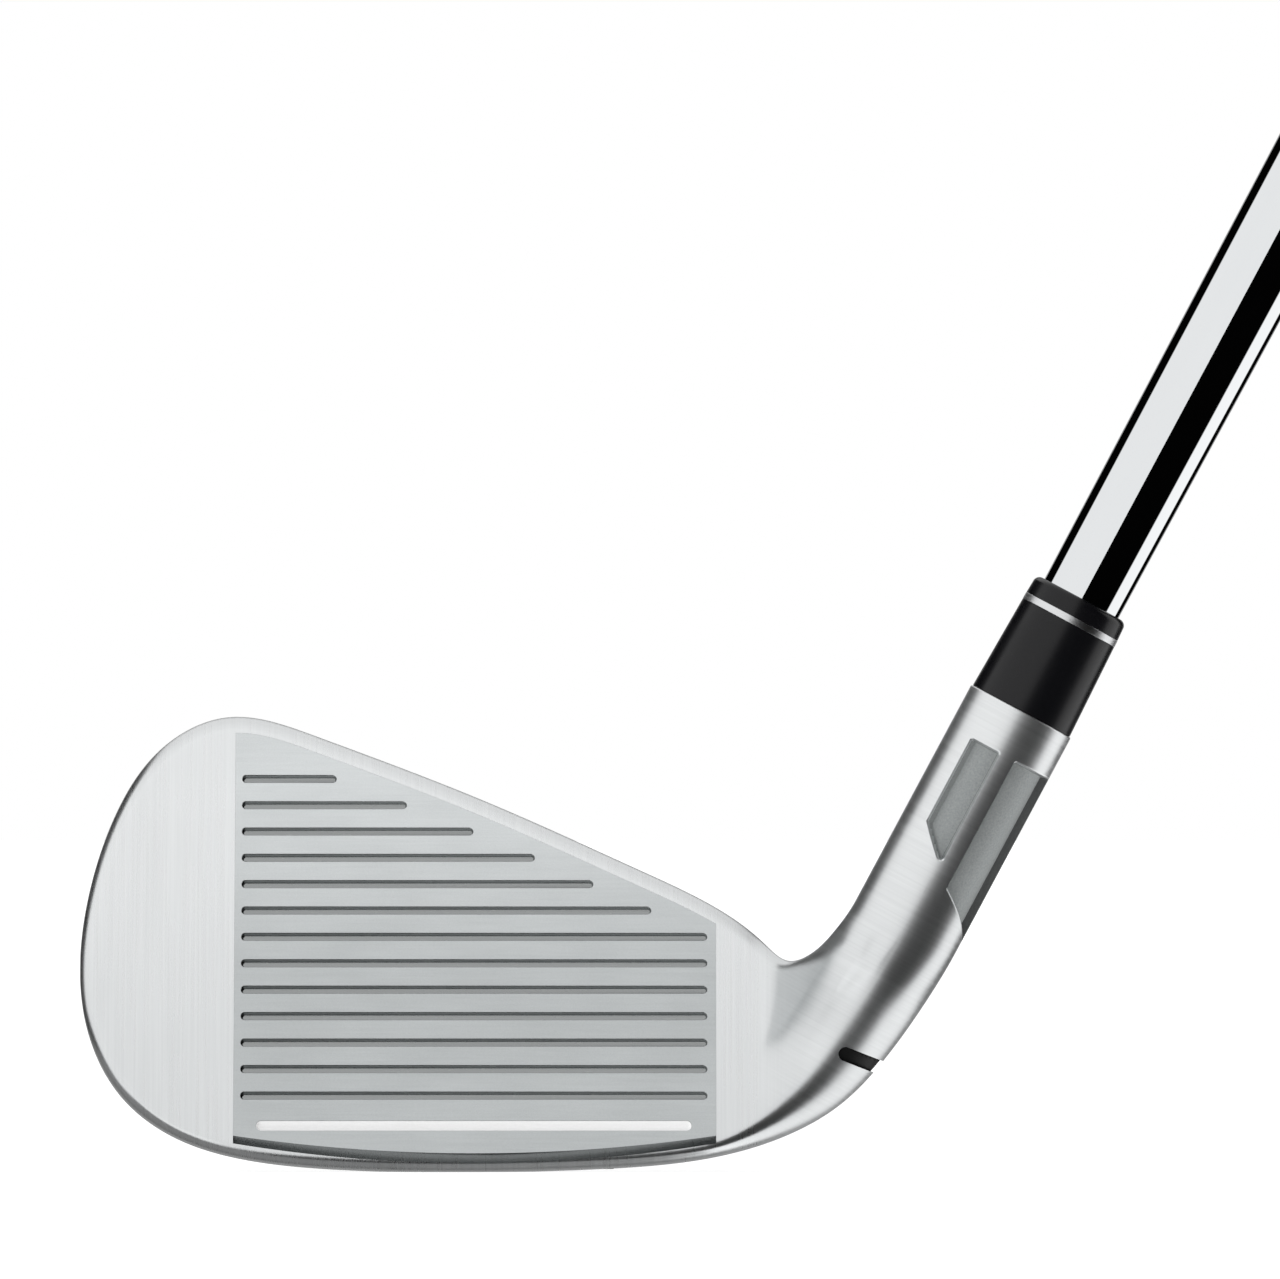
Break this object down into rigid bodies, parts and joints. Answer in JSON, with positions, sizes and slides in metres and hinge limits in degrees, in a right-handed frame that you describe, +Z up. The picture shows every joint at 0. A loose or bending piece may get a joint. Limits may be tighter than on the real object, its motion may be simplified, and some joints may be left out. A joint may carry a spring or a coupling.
{
  "type": "iron golf club",
  "caption": "Right-handed cavity-back iron: satin cast steel head with a scored face plate, black ferrule, stepped chrome shaft and rubber grip.",
  "frame": {"origin": "the point of the sole that touches the ground when the club is at address", "axes": "+Z up; the striking face looks along -Y; the toe points along -X and the shaft leans towards +X at its lie angle"},
  "size_m": [0.5347, 0.0447, 0.834],
  "materials": {
    "satin_steel": "satin, fine brush lines",
    "blasted_steel": "fine blasted",
    "cap_grey": "satin moulded",
    "badge_metal": "brushed",
    "gasket_foam": "matte foam",
    "black_polymer": "matte",
    "tungsten": "sintered dense metal",
    "ferrule_black": "soft polished",
    "ferrule_silver": "polished",
    "shaft_chrome": "mirror plated",
    "tip_cork": "raw cork",
    "band_film": "thin printed film, plain",
    "grip_tape": "paper-backed adhesive tape",
    "grip_rubber": "moulded, textured"
  },
  "bodies": {
    "root": {"head_body": "satin_steel", "face_plate": "blasted_steel", "back_cap": "cap_grey", "cap_badge": "badge_metal", "cap_gasket": "gasket_foam", "damper_bar": "black_polymer", "toe_weight": "tungsten", "sole_slot_insert": "black_polymer", "hosel_notch_insert": "black_polymer", "ferrule_sleeve": "ferrule_black", "ferrule_ring": "ferrule_silver", "ferrule_collar": "ferrule_black", "shaft": "shaft_chrome", "tip_weight": "tungsten", "tip_cork": "tip_cork", "shaft_band": "band_film", "grip_tape": "grip_tape", "grip_sleeve": "grip_rubber", "grip_cap": "grip_rubber"}
  },
  "joints": []
}
